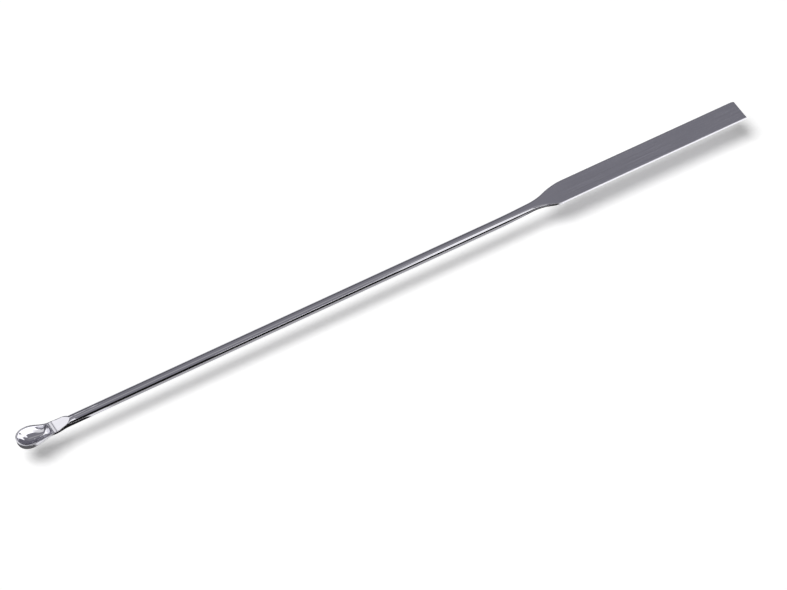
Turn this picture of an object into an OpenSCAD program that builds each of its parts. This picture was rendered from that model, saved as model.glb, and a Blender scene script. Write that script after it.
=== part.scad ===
// Double-ended laboratory micro spatula, forged in one piece from round stainless rod:
// a deep spoon bowl behind a flattened neck on one end, a flat straight blade on the other.
// X runs along the spatula from spoon to blade and Z is up. The origin is at the middle of
// its length, on the surface that the spatula lies on. Left is +Y, with the spoon nearer.

/* [Rod] */
// Length over everything, from the tip of the spoon to the end of the blade
total_len = 154; // [130:1:220]
// Diameter of the round rod
rod_d = 2.0; // [1.6:0.1:2.8]

/* [Blade] */
// Length of the straight part of the blade
blade_len = 38.6; // [20:0.2:60]
// Width of the blade
blade_w = 4.7; // [3.6:0.1:8]
// Thickness of the blade
blade_t = 0.5; // [0.4:0.05:1]
// Length over which the rod widens to the blade
shoulder_len = 8.2; // [6:0.2:14]
// Length over which the rod's underside rises to the blade's underside
taper_len = 16; // [14:0.5:24]
// Length over which the edges of the shoulder sharpen
sharpen_len = 5; // [3:0.2:6]
// How far the forged flare would reach past the straight right edge, which is ground off it
flare_excess = 0.4; // [0.05:0.05:0.8]
// Length of the eased corner at the left of the blade's end
eased_len = 0.95; // [0.3:0.05:2]
// Width of the eased corner
eased_w = 0.35; // [0.1:0.05:1]
// Radius of the sharper corner at the right of the blade's end
corner_r = 0.12; // [0.05:0.01:0.5]
// How much the blade's end is rounded off above and below
end_round = 0.18; // [0.05:0.01:0.18]

/* [Spoon bowl] */
// Length from the tip of the bowl to the narrowest place of the neck
bowl_len = 7.0; // [6:0.1:10]
// Length from the tip of the bowl to its widest place
nose_len = 2.6; // [2:0.1:4]
// Width of the bowl at its widest place
bowl_w = 4.3; // [3.6:0.1:6]
// Height of the bowl's rim above the top of the rod
rim_rise = 0.05; // [0:0.05:0.4]
// Width of the bowl's rim, and the wall under the deepest place of the cavity
wall = 0.3; // [0.2:0.05:0.45]
// Radius between the bottom and the sides of the bowl, on the outside
bowl_r = 1.6; // [1:0.05:1.7]
// How far the cavity's floor falls from the tip to its deepest place
floor_fall = 0.6; // [0.1:0.05:0.9]
// Where the cavity is deepest, as a share of the bowl's length from the tip
deepest_share = 0.75; // [0.6:0.01:0.8]
// Length of the cavity's rounded heel
heel_len = 1.6; // [1.2:0.1:2]
// Flat that stays between the heel of the cavity and the narrowest place of the neck
heel_gap = 0.35; // [0.2:0.05:0.8]

/* [Neck] */
// Length from the narrowest place of the neck to the full round of the rod
neck_len = 3.5; // [2.5:0.1:6]
// Width of the flattened neck
neck_w = 2.7; // [2.2:0.1:3.4]
// Depth of the pressed flat below the top of the rod
neck_dip = 0.57; // [0.3:0.01:0.8]
// Length over which the foot of the neck's slope levels out
neck_foot_len = 1.6; // [0.5:0.1:2.5]
// Length of the blunt arch where the flat starts on the round rod
arch_len = 1.2; // [0.8:0.1:2]

/* [Edges] */
// Radius of the long edges of the blade, the neck and the bowl's rim
edge_r = 0.08; // [0.04:0.01:0.12]

/* [Hidden] */

steel = "#b9bac0";
rod_r = rod_d / 2;
// The forged ends start this far inside the rod's end faces, and this much thinner than it
lap = 0.1;
sink = 0.004;
core_r = rod_r - sink;

// Places along the spatula, measured from the tip of the spoon
widest_x = nose_len;
neck_x = bowl_len;
rod_start_x = bowl_len + neck_len;
heel_x = neck_x - heel_gap;
deepest_x = bowl_len * deepest_share;
blade_x = total_len - blade_len;
shoulder_x = blade_x - shoulder_len;
rod_end_x = blade_x - taper_len;

// Heights above the rod's axis
rim_z = rod_r + rim_rise;
neck_z = rod_r - neck_dip;
floor_z = wall - rod_r;
blade_z = core_r - blade_t;

// Shapes of the bowl's tip from above and from the side, and of its cavity's heel from above:
// 2 is an ellipse, more is squarer
tip_squareness = 2.3;
keel_squareness = 2.5;
heel_squareness = 5;
// Smallest angle at which a rounded end is cut off
first_angle = 3;
corner_steps = 8;
nose_steps = 11;
dish_steps = 24;
end_steps = 12;
// Largest distance between the cross-sections of each end
spoon_gap = 0.27;
blade_gap = 0.5;
// How far the cavity's tool reaches above the rim where it meets it
tool_lift = 0.02;

// Goes from 0 at a to 1 at b, level at both ends
function ease(a, b, x) = (1 - cos(180 * min(1, max(0, (x - a) / (b - a))))) / 2;

function mix(from, to, share) = from + (to - from) * share;

// Goes from 0 at the tip of a rounded end to 1 at its full length
function fullness(x, length, squareness) =
    pow(1 - pow(max(0, 1 - x / length), squareness), 1 / squareness);

// Goes from 0 to 1 along a straight slope of this length, whose foot levels out
function slope(x, length, foot) = ((x < foot) ? x * x / foot / 2 : x - foot / 2) / (length - foot / 2);

// Even places from a to b, no more than this gap apart
function stations(a, b, gap) = let (n = ceil((b - a) / gap)) [for (i = [0:n]) a + (b - a) * i / n];

// Places along a rounded end of this length, crowded towards its tip
function end_stations(length) = [
    for (i = [0:nose_steps]) length * (1 - cos(mix(first_angle, 90, i / nose_steps)))
];

// Cross-section at x: a rectangle with round corners, its lower and its upper ones each with
// their own radius. With both radii equal to half its size it is a circle. Its middle is at
// mid_y across the spatula.
function section(x, half_w, low, high, low_r, high_r, mid_y = 0) = [
    for (quarter = [0:3], step = [0:corner_steps - 1])
        let (
            angle = 90 * (quarter + (step + 0.5) / corner_steps) - 90,
            r = (quarter == 0 || quarter == 3) ? low_r : high_r,
            y = (quarter < 2) ? half_w - r : r - half_w,
            z = (quarter == 0 || quarter == 3) ? low + r : high - r
        )
        [x, mid_y + y + r * cos(angle), z + r * sin(angle)]
];

function nose_fullness(x) = fullness(x, nose_len, tip_squareness);

// Half the outer width of the spoon end
function spoon_half_w(x) =
    (x < widest_x) ? bowl_w / 2 * nose_fullness(x) :
    (x < neck_x) ? mix(bowl_w, neck_w, ease(widest_x, neck_x, x)) / 2 :
    mix(neck_w / 2, core_r, ease(neck_x, rod_start_x - arch_len / 3, x));

// Height of the rim and of the flat behind it
function spoon_top(x) =
    (x < neck_x) ? mix(rim_z, neck_z, ease(widest_x, neck_x, x)) :
    mix(neck_z, core_r, slope(min(x, rod_start_x) - neck_x, neck_len, neck_foot_len));

// Height of the underside, which is level with the rod's and rounds up to the rim at the tip
function spoon_bottom(x) = mix(spoon_top(x), -core_r, fullness(x, nose_len, keel_squareness));

// Radius of the upper edges: small along the flat, then quickly the full round of the rod
function spoon_high_r(x) =
    let (
        thickness = spoon_top(x) - spoon_bottom(x),
        flatness = max(0, min(1, (rod_start_x - x) / arch_len))
    )
    mix(min(edge_r, thickness / 3), core_r, pow(1 - flatness, 2));

// Radius of the underside, as large as the width and the thickness leave room for
function spoon_low_r(x) =
    min(
        mix(bowl_r, core_r, ease(widest_x, rod_start_x, x)) * nose_fullness(x),
        spoon_half_w(x),
        spoon_top(x) - spoon_bottom(x) - spoon_high_r(x)
    );

function spoon_section(x) =
    section(x, spoon_half_w(x), spoon_bottom(x), spoon_top(x), spoon_low_r(x), spoon_high_r(x));

// How far x is into the rounded tip or heel of the cavity: 0 at its start, 1 at its very end
function end_share(x) =
    (x < widest_x) ? (widest_x - x) / (nose_len - wall) : max(0, 1 - (heel_x - x) / heel_len);

function end_squareness(x) = (x < widest_x) ? tip_squareness : heel_squareness;

// Height of the cavity's floor along its middle
function dish_floor(x) = floor_z + floor_fall * pow(max(0, 1 - x / deepest_x), 2);

// Height of the cavity's surface at this share of its half width from the middle. It is a dish
// that rises as the square of the distance from its middle line.
function dish_z(x, across) =
    let (
        squareness = end_squareness(x),
        reach = pow(pow(end_share(x), squareness) + pow(across, squareness), 1 / squareness)
    )
    mix(dish_floor(x), spoon_top(x) + tool_lift, min(1, reach * reach));

// Cross-section of the cavity, open above the rim
function cavity_section(x) =
    let (
        half_w = ((x < widest_x) ? bowl_w / 2 : spoon_half_w(x)) - wall,
        open = fullness(1 - end_share(x), 1, end_squareness(x))
    )
    [
        for (i = [0:dish_steps])
            let (across = open * sin(mix(-90, 90, i / dish_steps)))
            [x, half_w * across, dish_z(x, abs(across))],
        [x, half_w * open, rim_z + 1],
        [x, -half_w * open, rim_z + 1]
    ];

// How much a rounded corner of this length and width takes off the blade at x
function end_inset(x, length, width) =
    width * (1 - sqrt(1 - pow(max(0, 1 - (total_len - x) / length), 2)));

// Width of the shoulder and the blade to the left and to the right of the axis. On the right
// the flare runs on until the ground edge cuts it off.
function blade_left_w(x) =
    mix(core_r, blade_w / 2, ease(shoulder_x, blade_x, x)) - end_inset(x, eased_len, eased_w);

function blade_right_w(x) =
    min(blade_w / 2, mix(core_r, blade_w / 2 + flare_excess, ease(shoulder_x, blade_x, x)))
    - end_inset(x, corner_r, corner_r);

// Where the ground edge meets the flare on the right
flare_cut = (blade_w / 2 - core_r) / (blade_w / 2 + flare_excess - core_r);
edge_start_x = shoulder_x + shoulder_len * acos(1 - 2 * flare_cut) / 180;

function blade_bottom(x) =
    mix(-core_r, blade_z, ease(rod_end_x, blade_x, x)) + end_inset(x, end_round, end_round);

function blade_top(x) = core_r - end_inset(x, end_round, end_round);

// The edges stay fully round until the shoulder, then sharpen towards the blade
function blade_edge_r(x) =
    let (thickness = blade_top(x) - blade_bottom(x))
    min(thickness / 2, mix(core_r, edge_r, ease(shoulder_x, shoulder_x + sharpen_len, x)));

function blade_section(x) =
    let (left = blade_left_w(x), right = blade_right_w(x), r = blade_edge_r(x))
    section(x, (left + right) / 2, blade_bottom(x), blade_top(x), r, r, (left - right) / 2);

// Solid through a list of cross-sections with the same number of points
module loft(sections) {
    n = len(sections[0]);
    last = len(sections) - 1;
    sides = [
        for (i = [0:last - 1], j = [0:n - 1])
            let (a = i * n + j, b = i * n + (j + 1) % n)
            each [[a, a + n, b + n], [a, b + n, b]]
    ];
    start_cap = [for (j = [0:n - 1]) j];
    end_cap = [for (j = [n - 1:-1:0]) last * n + j];
    polyhedron([for (ring = sections) each ring], concat([start_cap], sides, [end_cap]));
}

module rod() {
    translate([rod_start_x, 0, 0])
        rotate([0, 90, 0])
            cylinder(h = rod_end_x - rod_start_x, r = rod_r, $fn = 96);
}

module spoon_end() {
    nose = end_stations(nose_len);
    body = stations(widest_x, rod_start_x, spoon_gap);
    difference() {
        loft([
            for (x = nose) spoon_section(x),
            for (i = [1:len(body) - 1]) spoon_section(body[i]),
            spoon_section(rod_start_x + lap)
        ]);
        cavity();
    }
}

module cavity() {
    nose = end_stations(nose_len - wall);
    body = stations(widest_x, heel_x - heel_len, spoon_gap);
    heel = end_stations(heel_len);
    loft([
        for (x = nose) cavity_section(x + wall),
        for (i = [1:len(body) - 1]) cavity_section(body[i]),
        for (i = [nose_steps - 1:-1:0]) cavity_section(heel_x - heel[i])
    ]);
}

module blade_end() {
    taper = stations(rod_end_x, edge_start_x, blade_gap);
    corner = stations(edge_start_x, blade_x, blade_gap);
    loft([
        blade_section(rod_end_x - lap),
        for (x = taper) blade_section(x),
        for (i = [1:len(corner) - 1]) blade_section(corner[i]),
        for (i = [0:end_steps]) blade_section(total_len - eased_len * (1 - sin(90 * i / end_steps)))
    ]);
}

module spatula() {
    color(steel)
        translate([-total_len / 2, 0, rod_r]) {
            rod();
            spoon_end();
            blade_end();
        }
}

spatula();
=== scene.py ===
"""Looks of the double-ended lab spatula: one forged length of polished steel rod over white paper."""

import math

import bmesh
import bpy
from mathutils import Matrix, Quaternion, Vector


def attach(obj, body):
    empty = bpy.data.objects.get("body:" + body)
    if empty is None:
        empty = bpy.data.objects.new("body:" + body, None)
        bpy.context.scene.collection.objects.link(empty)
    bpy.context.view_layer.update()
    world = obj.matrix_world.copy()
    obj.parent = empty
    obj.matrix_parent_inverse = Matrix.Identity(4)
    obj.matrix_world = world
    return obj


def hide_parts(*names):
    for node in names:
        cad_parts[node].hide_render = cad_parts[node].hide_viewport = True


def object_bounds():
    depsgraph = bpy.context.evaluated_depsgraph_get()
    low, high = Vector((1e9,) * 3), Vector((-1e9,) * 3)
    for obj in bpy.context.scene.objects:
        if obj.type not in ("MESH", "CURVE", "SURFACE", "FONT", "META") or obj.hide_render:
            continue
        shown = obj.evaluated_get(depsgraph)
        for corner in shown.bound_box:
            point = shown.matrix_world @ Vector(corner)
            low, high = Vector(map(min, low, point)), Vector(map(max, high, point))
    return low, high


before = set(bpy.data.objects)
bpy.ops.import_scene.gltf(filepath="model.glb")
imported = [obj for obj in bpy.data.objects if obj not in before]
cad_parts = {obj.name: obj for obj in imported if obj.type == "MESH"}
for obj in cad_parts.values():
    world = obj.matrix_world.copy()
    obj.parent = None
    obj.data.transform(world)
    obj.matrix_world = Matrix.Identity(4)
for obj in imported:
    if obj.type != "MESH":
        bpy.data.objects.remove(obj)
cad_low, cad_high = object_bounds()
MM = 0.001

# Driving sizes of the spatula in millimetres, as in the part's source. Places along it count
# from the tip of the spoon, and heights from the axis of the rod.
total_len = (cad_high.x - cad_low.x) / MM
blade_w = (cad_high.y - cad_low.y) / MM
# Half the rod's thickness, which is also how high its axis lies above the spatula's lowest point
rod_half = 1.0
rim_z = (cad_high.z - cad_low.z) / MM - rod_half
# The visible rod is a hair thinner, so that it stays inside the part's own box
rod_r = 0.996
blade_len = 38.6
blade_t = 0.5
shoulder_len = 8.2
taper_len = 16.0
sharpen_len = 5.0
flare_excess = 0.4
eased_len = 0.95
eased_w = 0.35
corner_r = 0.12
end_round = 0.18
bowl_len = 7.0
nose_len = 2.6
bowl_w = 4.3
wall = 0.3
bowl_r = 1.6
heel_len = 1.6
heel_gap = 0.35
floor_fall = 0.6
deepest_share = 0.75
neck_len = 3.5
neck_w = 2.7
neck_dip = 0.57
neck_foot_len = 1.6
arch_len = 1.2
edge_r = 0.08
# The bowl's rounded lip: how far it reaches out over the rim and down into the bowl, and the
# length behind the heel over which its line of points spreads out again
lip_r = 0.07
lip_depth = 0.06
lip_settle = 1.2
# 2 would be an ellipse, and more is fuller
tip_squareness = 2.3
heel_squareness = 5.0

widest_x = nose_len
heel_x = bowl_len - heel_gap
rod_start_x = bowl_len + neck_len
blade_x = total_len - blade_len
shoulder_x = blade_x - shoulder_len
rod_end_x = blade_x - taper_len
neck_z = rod_half - neck_dip
floor_z = wall - rod_half
deepest_x = bowl_len * deepest_share
blade_z = rod_r - blade_t
# Where the ground edge cuts off the flare on the right
flare_cut = (blade_w / 2 - rod_r) / (blade_w / 2 + flare_excess - rod_r)
edge_start_x = shoulder_x + shoulder_len * math.acos(1 - 2 * flare_cut) / math.pi

# Steps round half a cross-section, outside and inside the lip, then round the nose, along the
# blade's rounded end and the bowl's rounded heel, and along the curves that points are picked from
OUTER_STEPS = 26
INNER_STEPS = 18
NOSE_STEPS = 40
END_STEPS = 12
HEEL_STEPS = 30
CURVE_STEPS = 60
LIP_STEPS = 8
ARC_STEPS = 24

# The widest gap between cross-sections along each stretch, in millimetres
BLADE_GAP = 1.6
SHOULDER_GAP = 0.2
ROD_GAP = 2.0
NECK_GAP = 0.08
BOWL_GAP = 0.12

# How much closer together points lie where a cross-section turns, in millimetres for a radian
TURN_WEIGHT = 0.55
# In millimetres: lengths that count as nothing, points that are joined, and how near to the
# dish a point counts as lying on it
NO_SPAN = 1e-12
NO_REACH = 1e-6
JOIN_GAP = 2e-4
DISH_NEARNESS = 0.02

# The steel's grain: length and width of one streak in millimetres, and the noise's detail
FINE_LINES = (3.0, 0.035, 3)
GRINDING = (16.0, 0.14, 4)
STAINING = (7.0, 1.2, 3)
NOISE_ROUGHNESS = 0.6
STEEL_DARK = (0.495, 0.49, 0.525, 1)
STEEL_LIGHT = (0.75, 0.745, 0.795, 1)
# Each pair holds for the rod and spoon, and for the blade
LINE_CONTRAST = (0.2, 1.0)
POLISH = (0.03, 0.18)
BUMP_HEIGHT = (0.1, 0.95)
STAIN_CONTRAST = 0.3
GRIND_ROUGHNESS = 0.03
STAIN_ROUGHNESS = 0.02
BUMP_STRENGTH = 0.5
# In millimetres
BUMP_DEPTH = 0.006
# How much more a big face counts than a small one in the shading of an edge
NORMAL_WEIGHT = 60

# The studio: its fill light, the paper and its own glow, how far below the spatula it lies in
# millimetres, and the grey of the walls, which darken with depth and towards the back
FILL = 0.05
PAPER_WHITE = 0.9
PAPER_GLOW = 0.33
PAPER_DROP = 4.6
PAPER_HALF_SIZE = 3.0
ROOM_RADIUS = 2.0
ROOM_ROUNDNESS = 5
WALL_TONE = 0.275
WALL_LOW = 0.12
WALL_TINT = (1.01, 1.0, 1.11, 1)
WALL_TILT = 0.5
WALL_FADE = (-0.3, 1.2)


def clamp01(value):
    """The value, kept between 0 and 1."""
    return min(1.0, max(0.0, value))


def mix(a, b, share):
    """a where the share is 0, and b where it is 1."""
    return a + (b - a) * share


def ease(a, b, x):
    """From 0 at a to 1 at b, level at both ends."""
    return (1 - math.cos(math.pi * clamp01((x - a) / (b - a)))) / 2


def slope(x, length, foot):
    """From 0 to 1 along a straight slope whose foot levels out."""
    rise = x * x / foot / 2 if x < foot else x - foot / 2
    return rise / (length - foot / 2)


def spoon_half_w(x):
    """Half the width of the bowl, the neck and the start of the rod."""
    if x < bowl_len:
        return mix(bowl_w, neck_w, ease(widest_x, bowl_len, x)) / 2
    return mix(neck_w / 2, rod_r, ease(bowl_len, rod_start_x - arch_len / 3, x))


def spoon_top(x):
    """Height of the bowl's rim, and of the flat neck that slopes up to the rod."""
    if x < bowl_len:
        return mix(rim_z, neck_z, ease(widest_x, bowl_len, x))
    return mix(neck_z, rod_r, slope(min(x, rod_start_x) - bowl_len, neck_len, neck_foot_len))


def bowl_floor(x):
    """Height of the middle of the bowl's floor, which falls gently from the tip to its deepest place."""
    return floor_z + floor_fall * max(0.0, 1 - x / deepest_x) ** 2


def heel_share(x):
    """From 0 where the bowl's heel starts to close in to 1 at the back of it."""
    return clamp01((x - heel_x) / heel_len + 1)


def dish_z(x, y):
    """Height of the bowl's inside, behind its widest place: a dish that rises as the square of
    the distance from its middle line."""
    across = min(1.0, abs(y) / (spoon_half_w(x) - wall))
    reach = (heel_share(x) ** heel_squareness + across ** heel_squareness) ** (1 / heel_squareness)
    return mix(bowl_floor(x), spoon_top(x), min(1.0, reach * reach))


def spoon_sizes(x):
    """Half width, underside, top, and the radii of the lower and upper corners of the spoon end."""
    half_w, low, high = spoon_half_w(x), -rod_r, spoon_top(x)
    flatness = clamp01((rod_start_x - x) / arch_len)
    high_r = mix(edge_r, rod_r, (1 - flatness) ** 2)
    low_r = mix(bowl_r, rod_r, ease(widest_x, rod_start_x, x))
    return half_w, low, high, min(low_r, half_w, high - low - high_r), high_r


def end_inset(x, length, width):
    """How much a rounded corner of this length and width takes off the blade at x."""
    return width * (1 - math.sqrt(1 - max(0.0, 1 - (total_len - x) / length) ** 2))


def blade_sizes(x):
    """Width to the left and to the right of the axis, underside, top, and the edges' radius."""
    flare = ease(shoulder_x, blade_x, x)
    left = mix(rod_r, blade_w / 2, flare) - end_inset(x, eased_len, eased_w)
    right = min(blade_w / 2, mix(rod_r, blade_w / 2 + flare_excess, flare))
    right -= end_inset(x, corner_r, corner_r)
    face_inset = end_inset(x, end_round, end_round)
    low = mix(-rod_r, blade_z, ease(rod_end_x, blade_x, x)) + face_inset
    high = rod_r - face_inset
    sharpened = mix(rod_r, edge_r, ease(shoulder_x, shoulder_x + sharpen_len, x))
    return left, right, low, high, min((high - low) / 2, sharpened)


def arc(y, z, r, start, end):
    """Points and their turning, in degrees, along an arc round (y, z)."""
    points = []
    for i in range(ARC_STEPS + 1):
        a = math.radians(mix(start, end, i / ARC_STEPS))
        turn = abs(end - start) / ARC_STEPS if i else 0.0
        points.append((y + r * math.cos(a), z + r * math.sin(a), turn))
    return points


def spread(points, count):
    """Picks count + 1 places along a path, closer together where it turns."""
    marks = [0.0]
    for (y0, z0, _), (y1, z1, turn) in zip(points, points[1:]):
        marks.append(marks[-1] + math.hypot(y1 - y0, z1 - z0) + TURN_WEIGHT * math.radians(turn))
    picked, at = [], 0
    for i in range(count + 1):
        goal = marks[-1] * i / count
        while at < len(marks) - 2 and marks[at + 1] < goal:
            at += 1
        span = marks[at + 1] - marks[at]
        share = clamp01((goal - marks[at]) / span) if span > NO_SPAN else 0.0
        (y0, z0, _), (y1, z1, _) = points[at], points[at + 1]
        picked.append((mix(y0, y1, share), mix(z0, z1, share)))
    return picked


def half_section(half_w, low, high, low_r, high_r, lip_y, cavity=None):
    """Right half of a cross-section, from the middle of its underside out and up to the lip, and
    from the lip to the middle of its top or of the cavity's floor."""
    outside = [(0.0, low, 0.0)]
    outside += arc(half_w - low_r, low + low_r, low_r, -90, 0)
    edge = half_w - high_r
    if lip_y <= edge:
        outside += arc(edge, high - high_r, high_r, 0, 90)
        outside.append((lip_y, high, 0.0))
        inside = [(lip_y, high, 0.0), (0.0, high, 0.0)]
    else:
        lip_angle = math.degrees(math.acos(clamp01((lip_y - edge) / high_r)))
        outside += arc(edge, high - high_r, high_r, 0, lip_angle)
        inside = arc(edge, high - high_r, high_r, lip_angle, 90) + [(0.0, high, 0.0)]
    if cavity:
        inside = cavity
    return spread(outside, OUTER_STEPS) + spread(inside, INNER_STEPS)[1:]


def spoon_ring(x):
    """Whole cross-section of the bowl, the neck or the start of the rod."""
    half_w, low, high, low_r, high_r = spoon_sizes(x)
    if x >= heel_x:
        lip_y = mix(0.0, half_w / 2, ease(heel_x, heel_x + lip_settle, x))
        return full_ring(half_section(half_w, low, high, low_r, high_r, lip_y))
    side = (half_w - wall) * (1 - heel_share(x) ** heel_squareness) ** (1 / heel_squareness)
    cavity = bowl_curve(x, side)
    return full_ring(half_section(half_w, low, high, low_r, high_r, cavity[0][0], cavity))


def bowl_curve(x, side):
    """The bowl's inside at x, from the outer end of its rounded lip down to the middle, with how
    far it turns at each point."""
    curve = [side * math.cos(math.pi / 2 * i / CURVE_STEPS) for i in range(CURVE_STEPS + 1)]
    wall_points = [(y, dish_z(x, y)) for y in curve]
    high = spoon_top(x)
    start = next((i for i, (_, z) in enumerate(wall_points) if high - z > lip_depth), CURVE_STEPS)
    guides = ((side + lip_r, high), (side, high), wall_points[start])
    lip = []
    for i in range(LIP_STEPS):
        t = i / LIP_STEPS
        shares = ((1 - t) ** 2, 2 * t * (1 - t), t * t)
        lip.append(tuple(sum(s * p[axis] for s, p in zip(shares, guides)) for axis in (0, 1)))
    path = lip + wall_points[start:]
    turns = [0.0]
    for (y0, z0), (y1, z1), (y2, z2) in zip(path, path[1:], path[2:]):
        before, after = math.atan2(z1 - z0, y0 - y1), math.atan2(z2 - z1, y1 - y2)
        turns.append(abs(math.degrees(after - before)))
    return [(y, z, turn) for (y, z), turn in zip(path, turns + [0.0])]


def blade_ring(x):
    """Whole cross-section of the rod, the shoulder or the blade."""
    left, right, low, high, r = blade_sizes(x)
    half_w = (left + right) / 2
    return full_ring(half_section(half_w, low, high, r, r, half_w / 2), (left - right) / 2)


def places(a, b, gap):
    """Even places from b down to a, without b itself, no further apart than the gap."""
    count = math.ceil((b - a) / gap)
    return [a + (b - a) * i / count for i in range(count - 1, -1, -1)]


def stations():
    """Places from the blade's end to the widest place of the bowl, each with its ring."""
    end = [
        total_len - eased_len * (1 - math.sin(math.pi / 2 * i / END_STEPS))
        for i in range(END_STEPS, -1, -1)
    ]
    straight = places(blade_x, total_len - eased_len, BLADE_GAP)
    shoulder = places(edge_start_x, blade_x, SHOULDER_GAP)
    shoulder += places(rod_end_x, edge_start_x, SHOULDER_GAP)
    rod = places(rod_start_x, rod_end_x, ROD_GAP)
    neck = places(heel_x, rod_start_x, NECK_GAP)
    heel = [
        heel_x - heel_len * (1 - math.cos(math.pi / 2 * i / HEEL_STEPS))
        for i in range(1, HEEL_STEPS + 1)
    ]
    bowl = places(widest_x, heel_x - heel_len, BOWL_GAP)
    rings = [(x, blade_ring(x)) for x in end + straight + shoulder + rod[:-1]]
    rings += [(x, spoon_ring(x)) for x in rod[-1:] + neck + heel + bowl]
    return rings


def full_ring(half, mid_y=0.0):
    """Whole cross-section from its right half: up the right side first, then down the left."""
    left = [(-y, z) for y, z in half[1:-1]]
    return [(y + mid_y, z) for y, z in half + left[::-1]]


def place(x, y, z):
    """A point of the spatula in metres, in the frame of the part."""
    middle = (cad_low.x + cad_high.x) / 2
    return Vector(((x - total_len / 2) * MM + middle, y * MM, (z + rod_half) * MM))


def forged_body():
    """Draws the rod's ring along the spatula, pressing it to each station's cross-section, and
    spins the bowl's half section round the nose."""
    bm = bmesh.new()
    count = 2 * (OUTER_STEPS + INNER_STEPS)
    ring = bmesh.ops.create_circle(bm, segments=count, radius=rod_r * MM)["verts"]
    for number, (x, section) in enumerate(stations()):
        if number:
            edges = [bm.edges.get((ring[i], ring[(i + 1) % count])) for i in range(count)]
            made = set(bmesh.ops.extrude_edge_only(bm, edges=edges)["geom"])
            ring = [
                next(e.other_vert(v) for e in v.link_edges if e.other_vert(v) in made)
                for v in ring
            ]
        for vert, (y, z) in zip(ring, section):
            vert.co = place(x, y, z)
    right = ring[: count // 2 + 1]
    spine = [bm.edges.get((a, b)) for a, b in zip(right, right[1:])]
    before = set(bm.verts)
    centre = place(widest_x, 0, 0)
    bmesh.ops.spin(
        bm,
        geom=right + spine,
        cent=centre,
        axis=(0, 0, 1),
        angle=math.pi,
        steps=NOSE_STEPS,
        use_duplicate=False,
    )
    shape_nose([v for v in bm.verts if v not in before], centre)
    bmesh.ops.remove_doubles(bm, verts=bm.verts, dist=JOIN_GAP * MM)
    bmesh.ops.holes_fill(bm, edges=[e for e in bm.edges if e.is_boundary], sides=0)
    bmesh.ops.recalc_face_normals(bm, faces=bm.faces)
    return bm


def shape_nose(verts, centre):
    """Turns the round nose into the bowl's longer, fuller one, with an even rim, and lifts its
    floor towards the tip."""
    half_w = bowl_w / 2
    inner_w = half_w - wall
    start_floor = bowl_floor(widest_x)
    for vert in verts:
        along, across = (centre.x - vert.co.x) / MM, (vert.co.y - centre.y) / MM
        reach = math.hypot(along, across)
        if reach < NO_REACH:
            continue
        height = vert.co.z / MM - rod_half
        in_dish = reach <= inner_w and abs(height - dish_z(widest_x, reach)) < DISH_NEARNESS
        forward, sideways = along / reach, across / reach
        inner = outline(forward, sideways, nose_len - wall, inner_w)
        outer = outline(forward, sideways, nose_len, half_w)
        grown = reach / inner_w * inner
        if reach >= inner_w:
            grown = mix(inner, outer, (reach - inner_w) / wall)
        vert.co.x = centre.x - forward * grown * MM
        vert.co.y = centre.y + sideways * grown * MM
        if in_dish:
            depth_share = (rim_z - bowl_floor(widest_x - forward * grown)) / (rim_z - start_floor)
            vert.co.z = (rim_z - (rim_z - height) * depth_share + rod_half) * MM


def outline(forward, sideways, length, half_w):
    """Distance from the centre to a rounded end's outline in a direction."""
    size = (abs(forward) / length) ** tip_squareness + (abs(sideways) / half_w) ** tip_squareness
    return size ** (-1 / tip_squareness)


def mesh_object(name, bm, material):
    mesh = bpy.data.meshes.new(name)
    bm.to_mesh(mesh)
    bm.free()
    for polygon in mesh.polygons:
        polygon.use_smooth = True
    mesh.materials.append(material)
    obj = bpy.data.objects.new(name, mesh)
    bpy.context.scene.collection.objects.link(obj)
    return obj


def new_material(name):
    material = bpy.data.materials.new(name)
    material.use_nodes = True
    nodes = material.node_tree.nodes
    nodes.clear()
    return material, nodes, material.node_tree.links


def add_node(nodes, kind, **settings):
    node = nodes.new(kind)
    for key, value in settings.items():
        setattr(node, key, value)
    return node


def math_node(nodes, links, operation, *values):
    """The result of a sum whose values are numbers or other nodes' sockets."""
    node = add_node(nodes, "ShaderNodeMath", operation=operation)
    for socket, value in zip(node.inputs, values):
        if isinstance(value, (int, float)):
            socket.default_value = value
        else:
            links.new(value, socket)
    return node.outputs[0]


def grain_group():
    """Noise drawn out along X: Length and Width are the size of one streak in metres."""
    group = bpy.data.node_groups.new("drawn_grain", "ShaderNodeTree")
    group.interface.new_socket("Position", in_out="INPUT", socket_type="NodeSocketVector")
    for name in ("Length", "Width", "Detail"):
        group.interface.new_socket(name, in_out="INPUT", socket_type="NodeSocketFloat")
    group.interface.new_socket("Grain", in_out="OUTPUT", socket_type="NodeSocketFloat")
    nodes, links = group.nodes, group.links
    given = add_node(nodes, "NodeGroupInput")
    size = add_node(nodes, "ShaderNodeCombineXYZ")
    for axis, name in (("X", "Length"), ("Y", "Width"), ("Z", "Width")):
        links.new(given.outputs[name], size.inputs[axis])
    shrunk = add_node(nodes, "ShaderNodeVectorMath", operation="DIVIDE")
    links.new(given.outputs["Position"], shrunk.inputs[0])
    links.new(size.outputs[0], shrunk.inputs[1])
    noise = add_node(nodes, "ShaderNodeTexNoise")
    noise.inputs["Scale"].default_value = 1.0
    noise.inputs["Roughness"].default_value = NOISE_ROUGHNESS
    links.new(shrunk.outputs[0], noise.inputs["Vector"])
    links.new(given.outputs["Detail"], noise.inputs["Detail"])
    result = add_node(nodes, "NodeGroupOutput")
    links.new(noise.outputs["Fac"], result.inputs["Grain"])
    return group


def streaks(nodes, links, coords, along, across, detail):
    """Grain whose streaks are along by across millimetres."""
    grain = add_node(nodes, "ShaderNodeGroup", node_tree=drawn_grain)
    grain.inputs["Length"].default_value = along * MM
    grain.inputs["Width"].default_value = across * MM
    grain.inputs["Detail"].default_value = detail
    links.new(coords, grain.inputs["Position"])
    return grain.outputs["Grain"]


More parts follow.
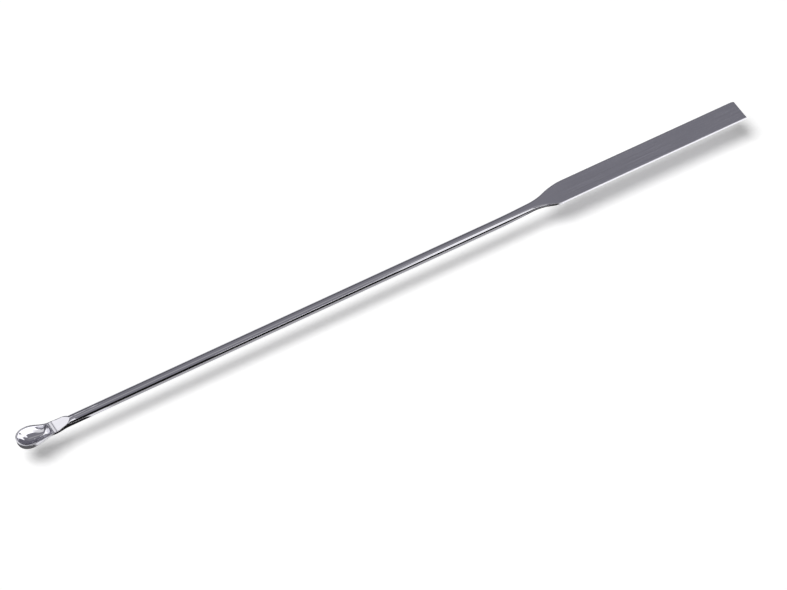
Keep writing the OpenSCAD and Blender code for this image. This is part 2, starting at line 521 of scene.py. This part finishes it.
def map_range(nodes, links, value, low, high, to_low, to_high):
    """A smooth change from to_low to to_high while the value goes from low to high."""
    node = add_node(nodes, "ShaderNodeMapRange", interpolation_type="SMOOTHSTEP")
    for key, setting in (("From Min", low), ("From Max", high), ("To Min", to_low), ("To Max", to_high)):
        node.inputs[key].default_value = setting
    links.new(value, node.inputs["Value"])
    return node.outputs["Result"]


def from_rod_to_blade(nodes, links, satin, ends):
    """A value that changes over the shoulder, where satin goes from 0 to 1."""
    on_rod, on_blade = ends
    return math_node(nodes, links, "MULTIPLY_ADD", satin, on_blade - on_rod, on_rod)


def forged_steel():
    """Stainless steel: polished on the rod and spoon, satin with a lengthwise grain on the blade."""
    material, nodes, links = new_material("forged_steel")
    coords = add_node(nodes, "ShaderNodeTexCoord").outputs["Object"]
    split = add_node(nodes, "ShaderNodeSeparateXYZ")
    links.new(coords, split.inputs[0])
    start = place(shoulder_x, 0, 0).x
    end = place(blade_x, 0, 0).x
    satin = map_range(nodes, links, split.outputs["X"], start, end, 0.0, 1.0)

    fine = streaks(nodes, links, coords, *FINE_LINES)
    grind = streaks(nodes, links, coords, *GRINDING)
    stain = streaks(nodes, links, coords, *STAINING)

    # The blade's lengthwise grinding shows as lighter and darker lines, the rod's hardly. Each
    # noise swings round its middle value of a half
    contrast = from_rod_to_blade(nodes, links, satin, LINE_CONTRAST)
    grind_swing = math_node(nodes, links, "SUBTRACT", grind, 0.5)
    lines = math_node(nodes, links, "MULTIPLY", grind_swing, contrast)
    stain_swing = math_node(nodes, links, "SUBTRACT", stain, 0.5)
    cloud = math_node(nodes, links, "MULTIPLY_ADD", stain_swing, STAIN_CONTRAST, 0.5)
    tone = add_node(nodes, "ShaderNodeMix", data_type="RGBA")
    tone.inputs["A"].default_value = STEEL_DARK
    tone.inputs["B"].default_value = STEEL_LIGHT
    links.new(math_node(nodes, links, "ADD", lines, cloud), tone.inputs["Factor"])

    roughness = from_rod_to_blade(nodes, links, satin, POLISH)
    roughness = math_node(nodes, links, "MULTIPLY_ADD", grind, GRIND_ROUGHNESS, roughness)
    roughness = math_node(nodes, links, "MULTIPLY_ADD", stain, STAIN_ROUGHNESS, roughness)

    grain = math_node(nodes, links, "MULTIPLY_ADD", fine, 0.5, grind)
    depth = from_rod_to_blade(nodes, links, satin, BUMP_HEIGHT)
    height = math_node(nodes, links, "MULTIPLY", grain, depth)
    bump = add_node(nodes, "ShaderNodeBump")
    bump.inputs["Strength"].default_value = BUMP_STRENGTH
    bump.inputs["Distance"].default_value = BUMP_DEPTH * MM
    links.new(height, bump.inputs["Height"])

    shader = add_node(nodes, "ShaderNodeBsdfPrincipled")
    shader.inputs["Metallic"].default_value = 1.0
    links.new(tone.outputs["Result"], shader.inputs["Base Color"])
    links.new(roughness, shader.inputs["Roughness"])
    links.new(bump.outputs["Normal"], shader.inputs["Normal"])
    output = add_node(nodes, "ShaderNodeOutputMaterial")
    links.new(shader.outputs["BSDF"], output.inputs["Surface"])
    return material


def stage_object(name, bm, material):
    """Makes a mesh for the studio, in the same way as the spatula's own mesh."""
    obj = mesh_object(name, bm, material)
    return obj


def paper_floor():
    """Matt white paper a little way below the spatula, so that the shadow lies softly beside it.
    It is seen as full white where no shadow falls on it."""
    material, nodes, links = new_material("white_paper")
    paper = add_node(nodes, "ShaderNodeBsdfDiffuse")
    paper.inputs["Color"].default_value = (PAPER_WHITE, PAPER_WHITE, PAPER_WHITE, 1)
    glow = add_node(nodes, "ShaderNodeEmission")
    strength = math_node(nodes, links, "MULTIPLY", shown_rays(nodes, links), PAPER_GLOW)
    links.new(strength, glow.inputs["Strength"])
    both = add_node(nodes, "ShaderNodeAddShader")
    links.new(paper.outputs[0], both.inputs[0])
    links.new(glow.outputs[0], both.inputs[1])
    output = add_node(nodes, "ShaderNodeOutputMaterial")
    links.new(both.outputs[0], output.inputs["Surface"])
    bm = bmesh.new()
    bmesh.ops.create_grid(bm, x_segments=1, y_segments=1, size=PAPER_HALF_SIZE)
    bmesh.ops.translate(bm, verts=bm.verts, vec=(0, 0, -PAPER_DROP * MM))
    stage_object("paper_floor", bm, material)


def shown_rays(nodes, links):
    """1 for the rays that show a thing itself or its reflection, 0 for those that only light others."""
    rays = add_node(nodes, "ShaderNodeLightPath").outputs
    seen = math_node(nodes, links, "MAXIMUM", rays["Is Camera Ray"], rays["Is Glossy Ray"])
    return math_node(nodes, links, "MAXIMUM", seen, rays["Is Transmission Ray"])


def only_reflected(obj):
    """Leaves an object to be seen only by the steel, where it neither lights nor shades anything."""
    obj.visible_camera = False
    obj.visible_diffuse = False
    obj.visible_shadow = False
    obj.visible_transmission = False


def grey_room():
    """Grey walls round the table, a little darker low down and at the back. Only the steel shows
    them."""
    material, nodes, links = new_material("grey_wall")
    split = add_node(nodes, "ShaderNodeSeparateXYZ")
    links.new(add_node(nodes, "ShaderNodeTexCoord").outputs["Object"], split.inputs[0])
    back = math_node(nodes, links, "MULTIPLY", split.outputs["Y"], WALL_TILT)
    height = math_node(nodes, links, "SUBTRACT", split.outputs["Z"], back)
    tone = map_range(nodes, links, height, *WALL_FADE, WALL_LOW, WALL_TONE)
    glow = add_node(nodes, "ShaderNodeEmission")
    glow.inputs["Color"].default_value = WALL_TINT
    links.new(tone, glow.inputs["Strength"])
    output = add_node(nodes, "ShaderNodeOutputMaterial")
    links.new(glow.outputs[0], output.inputs["Surface"])
    material.cycles.emission_sampling = "NONE"
    bm = bmesh.new()
    bmesh.ops.create_icosphere(bm, subdivisions=ROOM_ROUNDNESS, radius=ROOM_RADIUS)
    bmesh.ops.reverse_faces(bm, faces=bm.faces)
    only_reflected(stage_object("grey_room", bm, material))


def soft_edge_group():
    """A mask for a flat panel: 1 over its middle, fading to 0 over a set width along its edges."""
    group = bpy.data.node_groups.new("soft_edge", "ShaderNodeTree")
    names = ("Position", "Half Size", "Fade")
    for name in names:
        group.interface.new_socket(name, in_out="INPUT", socket_type="NodeSocketVector")
    group.interface.new_socket("Mask", in_out="OUTPUT", socket_type="NodeSocketFloat")
    nodes, links = group.nodes, group.links
    given = add_node(nodes, "NodeGroupInput")
    result = add_node(nodes, "NodeGroupOutput")
    parts = []
    for name in names:
        split = add_node(nodes, "ShaderNodeSeparateXYZ")
        links.new(given.outputs[name], split.inputs[0])
        parts.append(split.outputs)
    position, half_size, width = parts
    fades = []
    for axis in ("X", "Y"):
        away = math_node(nodes, links, "ABSOLUTE", position[axis])
        inner = math_node(nodes, links, "SUBTRACT", half_size[axis], width[axis])
        fade = add_node(nodes, "ShaderNodeMapRange", interpolation_type="SMOOTHSTEP")
        fade.inputs["To Min"].default_value = 1.0
        fade.inputs["To Max"].default_value = 0.0
        for socket, value in (("Value", away), ("From Min", inner), ("From Max", half_size[axis])):
            links.new(value, fade.inputs[socket])
        fades.append(fade.outputs["Result"])
    links.new(math_node(nodes, links, "MULTIPLY", *fades), result.inputs["Mask"])
    return group


def card(name, tone, centre, size, soft, aim, roll=0):
    """A flat panel which only the steel shows: a softbox, or a dark card. Its edges fade over the
    soft widths. It faces the aim, and roll turns it about that line, in degrees. All lengths are
    in metres."""
    material, nodes, links = new_material(name)
    mask = add_node(nodes, "ShaderNodeGroup", node_tree=soft_edge)
    mask.inputs["Half Size"].default_value = (size[0] / 2, size[1] / 2, 0)
    mask.inputs["Fade"].default_value = (soft[0], soft[1], 0)
    links.new(add_node(nodes, "ShaderNodeTexCoord").outputs["Object"], mask.inputs["Position"])
    shader = add_node(nodes, "ShaderNodeBsdfPrincipled")
    shader.inputs["Base Color"].default_value = (0, 0, 0, 1)
    shader.inputs["Specular IOR Level"].default_value = 0.0
    shader.inputs["Emission Color"].default_value = (1, 1, 1, 1)
    shader.inputs["Emission Strength"].default_value = tone
    links.new(mask.outputs["Mask"], shader.inputs["Alpha"])
    output = add_node(nodes, "ShaderNodeOutputMaterial")
    links.new(shader.outputs["BSDF"], output.inputs["Surface"])
    material.cycles.emission_sampling = "NONE"
    bm = bmesh.new()
    bmesh.ops.create_grid(bm, x_segments=1, y_segments=1, size=0.5)
    bmesh.ops.scale(bm, verts=bm.verts, vec=(size[0], size[1], 1))
    panel = stage_object(name, bm, material)
    facing = (Vector(aim) - Vector(centre)).to_track_quat("Z", "Y")
    panel.rotation_mode = "QUATERNION"
    panel.rotation_quaternion = facing @ Quaternion((0, 0, 1), math.radians(roll))
    panel.location = centre
    only_reflected(panel)


def direction(azimuth, elevation):
    """From the middle of the table outwards: an azimuth of 0 is the front, and 90 the right."""
    a, e = math.radians(azimuth), math.radians(elevation)
    return Vector((math.sin(a) * math.cos(e), -math.cos(a) * math.cos(e), math.sin(e)))


def area_lamp(name, azimuth, elevation, distance, size, power):
    """A round lamp that faces the table. The steel doesn't show it."""
    lamp = bpy.data.lights.new(name, "AREA")
    lamp.shape = "DISK"
    lamp.size = size
    lamp.energy = power
    obj = bpy.data.objects.new(name, lamp)
    away = direction(azimuth, elevation)
    obj.location = away * distance
    obj.rotation_mode = "QUATERNION"
    obj.rotation_quaternion = away.to_track_quat("Z", "Y")
    obj.visible_glossy = False
    bpy.context.scene.collection.objects.link(obj)


def studio_world():
    """Even white surroundings, which fill the shadows less than they show."""
    world = bpy.data.worlds.new("studio")
    bpy.context.scene.world = world
    world.use_nodes = True
    nodes, links = world.node_tree.nodes, world.node_tree.links
    nodes.clear()
    fill = add_node(nodes, "ShaderNodeBackground")
    fill.inputs["Strength"].default_value = FILL
    shown = add_node(nodes, "ShaderNodeBackground")
    shown.inputs["Strength"].default_value = 1.0
    for node in (fill, shown):
        node.inputs["Color"].default_value = (1, 1, 1, 1)
    either = add_node(nodes, "ShaderNodeMixShader")
    links.new(shown_rays(nodes, links), either.inputs[0])
    links.new(fill.outputs[0], either.inputs[1])
    links.new(shown.outputs[0], either.inputs[2])
    output = add_node(nodes, "ShaderNodeOutputWorld")
    links.new(either.outputs[0], output.inputs["Surface"])


def camera(azimuth, elevation, distance, target, lens):
    """Looks at the target from a distance, both in millimetres."""
    data = bpy.data.cameras.new("camera")
    data.lens = lens
    data.sensor_width = 36
    data.clip_start, data.clip_end = 0.01, 20
    obj = bpy.data.objects.new("camera", data)
    back = direction(azimuth, elevation)
    obj.location = Vector(target) * MM + back * distance * MM
    obj.rotation_mode = "QUATERNION"
    obj.rotation_quaternion = (-back).to_track_quat("-Z", "Y")
    bpy.context.scene.collection.objects.link(obj)
    bpy.context.scene.camera = obj


drawn_grain = grain_group()
steel = forged_steel()
spatula = mesh_object("forged_spatula", forged_body(), steel)
even_flats = spatula.modifiers.new("even_flats", "WEIGHTED_NORMAL")
even_flats.keep_sharp = True
even_flats.weight = NORMAL_WEIGHT
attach(spatula, "root")
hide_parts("spatula")

soft_edge = soft_edge_group()
paper_floor()
grey_room()
studio_world()
area_lamp("key_lamp", azimuth=270, elevation=68, distance=9.0, size=4.86, power=665)
# Softboxes on the left, which make the neck pale
card(
    "left_softbox", tone=1.35, centre=(-0.45, 0.47, 0.80), size=(1.08, 0.38),
    soft=(0.08, 0.06), aim=(-0.45, 0.47, 0.0), roll=6,
)
card(
    "left_wall", tone=1.6, centre=(-0.95, 0.35, 0.66), size=(0.9, 0.60),
    soft=(0.06, 0.10), aim=(0, 0, 0),
)
# A faint glow along the middle of the rod
card(
    "overhead_glow", tone=0.55, centre=(0.12, -0.15, 0.78), size=(0.90, 0.40),
    soft=(0.40, 0.18), aim=(0.12, -0.15, 0.0),
)
# Softboxes in front and on the right, for the near side of the rod, the bowl and the blade's edge
card(
    "low_softbox", tone=1.9, centre=(0.60, -0.90, 0.28), size=(1.76, 0.84),
    soft=(0.04, 0.05), aim=(0, 0, 0.28),
)
card(
    "right_softbox", tone=1.8, centre=(1.10, -0.02, 0.18), size=(0.90, 0.50),
    soft=(0.06, 0.06), aim=(0, 0, 0.18),
)
card(
    "front_softbox", tone=1.0, centre=(-0.06, -0.87, 0.52), size=(0.36, 0.56),
    soft=(0.08, 0.08), aim=(0, 0, 0),
)
# The bright line on the half of the rod towards the blade
card(
    "streak_card", tone=1.5, centre=(0.255, -0.284, 0.318), size=(0.25, 0.17),
    soft=(0.03, 0.03), aim=(0.255, 0.0, 0.0),
)
# A dark card, for the shade on the bowl's far wall near the heel
card(
    "dark_card", tone=0.08, centre=(-0.42, -0.86, 0.36), size=(0.36, 0.45),
    soft=(0.05, 0.08), aim=(0, 0, 0),
)
# Small cards close by, for the flat between the bowl and the neck, and for the neck's foot
card(
    "heel_card", tone=1.15, centre=(-0.0388, 0.0531, 0.0788), size=(0.0016, 0.030),
    soft=(0.0004, 0.006), aim=(-0.0388, 0.0, 0.0),
)
card(
    "neck_card", tone=1.15, centre=(-0.0175, 0.130, 0.200), size=(0.025, 0.050),
    soft=(0.002, 0.010), aim=(-0.0175, 0.0, 0.0),
)
# What the undersides show: close by, a pale grey sheet whose tone is painted shade, standing for the
# paper in the spatula's shadow; beyond it, darkness
card(
    "black_strip", tone=0.01, centre=(0.0, -0.508, -0.0008), size=(3.0, 1.0),
    soft=(0.01, 0.001), aim=(0.0, -0.508, 1.0),
)
card(
    "grey_strip", tone=0.55, centre=(-0.014, -0.0046, -0.0008), size=(0.090, 0.0068),
    soft=(0.002, 0.0004), aim=(-0.014, -0.0046, 1.0),
)
# The thin black line along the rod, which drops a little towards the blade. The bars lie at
# slightly different depths, because of two cards in one plane only one is seen
card(
    "high_bar", tone=0.01, centre=(-0.051, -0.0056, 0.00275), size=(0.034, 0.0042),
    soft=(0.003, 0.0003), aim=(-0.051, 0.05, 0.00275),
)
card(
    "middle_bar", tone=0.01, centre=(-0.018, -0.00575, 0.00255), size=(0.046, 0.0038),
    soft=(0.003, 0.0003), aim=(-0.018, 0.05, 0.00255),
)
card(
    "low_bar", tone=0.01, centre=(0.012, -0.0059, 0.00225), size=(0.052, 0.0030),
    soft=(0.003, 0.0003), aim=(0.012, 0.05, 0.00225),
)
# Dark and bright places along the near edges of the shoulder, the spoon, the neck and the blade
card(
    "shoulder_patch", tone=0.03, centre=(0.0315, -0.0035, -0.0009), size=(0.0080, 0.0050),
    soft=(0.0006, 0.0005), aim=(0.0315, -0.0035, 1.0),
)
# Painted shade: a dim sheet beside the spoon, standing for the paper in the spoon's shadow, which the
# spoon's outside reflects
card(
    "dark_patch", tone=0.16, centre=(-0.0846, -0.013, -0.0007), size=(0.023, 0.030),
    soft=(0.001, 0.001), aim=(-0.0846, -0.013, 1.0),
)
card(
    "neck_patch", tone=0.02, centre=(-0.0662, -0.0036, -0.0006), size=(0.0084, 0.0060),
    soft=(0.0008, 0.0006), aim=(-0.0662, -0.0036, 1.0),
)
card(
    "white_strip", tone=1.6, centre=(0.058, -0.0052, -0.0007), size=(0.045, 0.0045),
    soft=(0.001, 0.0005), aim=(0.058, -0.0052, 1.0),
)

# A long lens, from the front left and well above
camera(azimuth=-30.379, elevation=52, distance=751, target=(-2.0, -4.678, 0.974), lens=187.4)
bpy.context.scene.view_settings.view_transform = "Standard"
